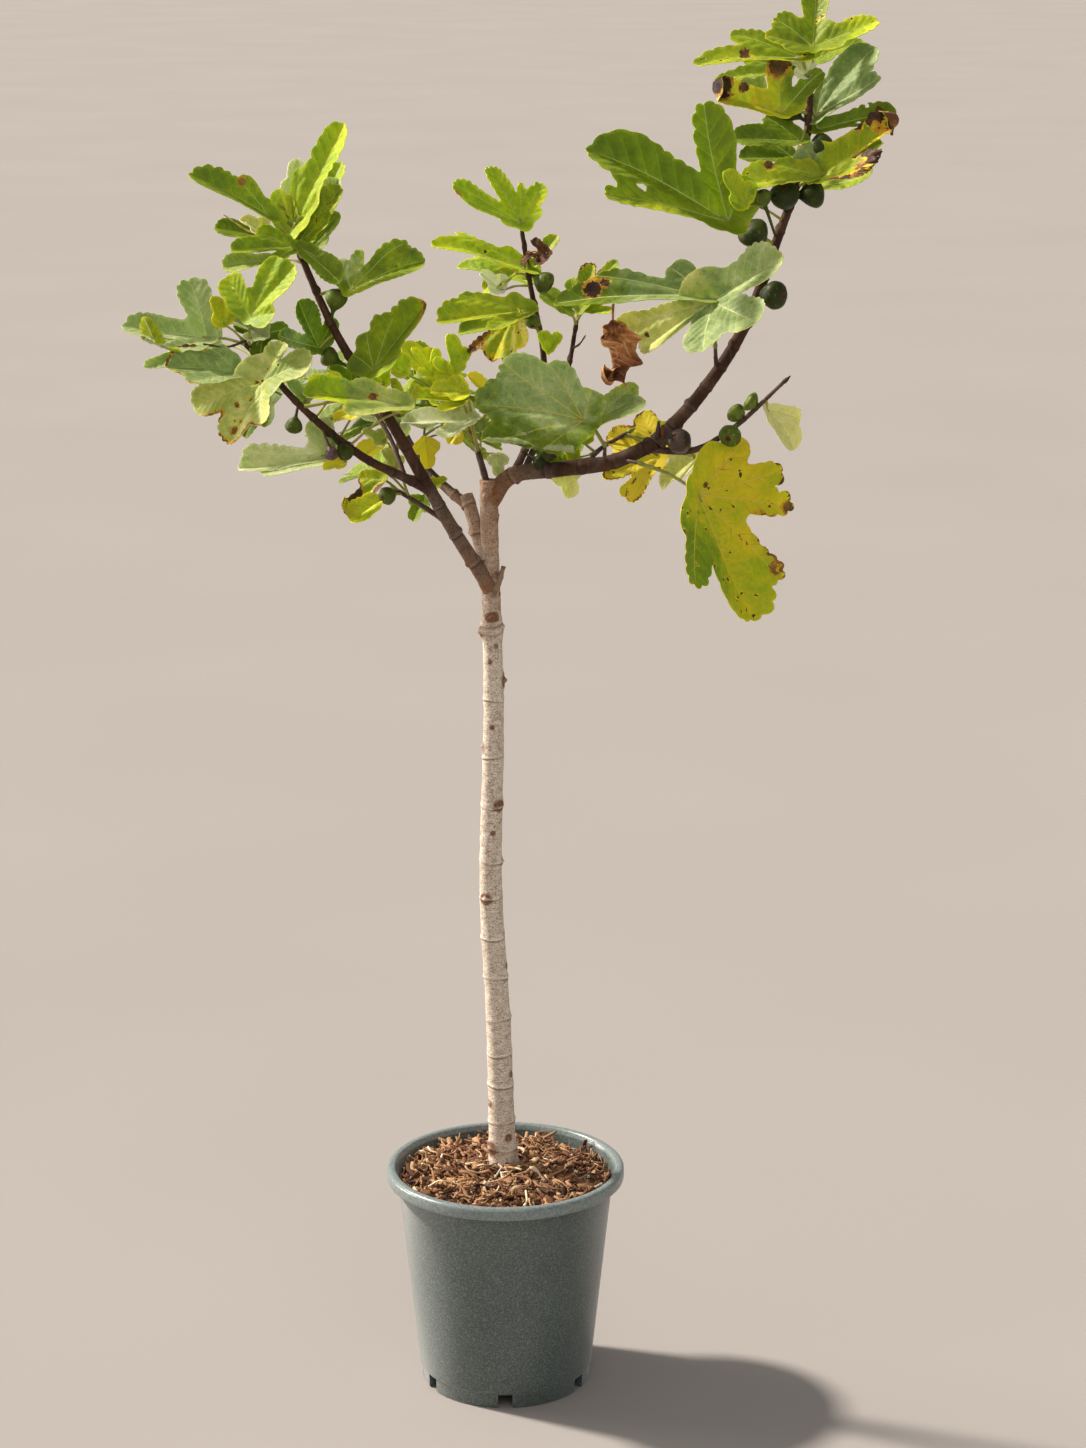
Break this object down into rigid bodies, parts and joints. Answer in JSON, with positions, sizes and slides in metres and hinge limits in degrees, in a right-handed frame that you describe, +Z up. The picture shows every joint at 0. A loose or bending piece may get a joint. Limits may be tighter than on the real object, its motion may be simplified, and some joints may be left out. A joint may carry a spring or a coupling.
{
  "type": "potted fig tree",
  "caption": "young fig tree on one bare stem with open boughs, lobed leaves turning yellow and small figs, growing in a round nursery pot",
  "frame": {"origin": "centre of the pot's flat underside, on the surface that the pot stands on", "axes": "+X to the viewer's right, +Y away from the viewer, +Z up along the stem"},
  "size_m": [0.8519, 0.4554, 1.6156],
  "materials": {
    "pot_plastic": "matt, fine grain",
    "mulch": "rough shredded bark",
    "bark_pale": "smooth pale bark",
    "bark_dark": "smooth dark bark",
    "foliage": "satin leaves"
  },
  "bodies": {
    "root": {"pot": "pot_plastic", "potting_mix": "mulch", "trunk": "bark_pale", "stub_back": "bark_pale", "bough_left": "bark_dark", "bough_left_low": "bark_dark", "bough_back_left": "bark_dark", "bough_right": "bark_dark", "bough_right_rise": "bark_dark", "shoot_centre": "bark_dark", "shoot_centre_right": "bark_dark", "foliage_left_upper": "foliage", "foliage_left_low": "foliage", "foliage_left_side": "foliage", "foliage_left_under": "foliage", "foliage_back_left": "foliage", "foliage_centre_left": "foliage", "foliage_centre": "foliage", "foliage_centre_right": "foliage", "foliage_right_front": "foliage", "foliage_right_hanging": "foliage", "foliage_right_back": "foliage", "foliage_right_middle": "foliage", "foliage_right_top": "foliage", "foliage_right_twig": "foliage"}
  },
  "joints": []
}
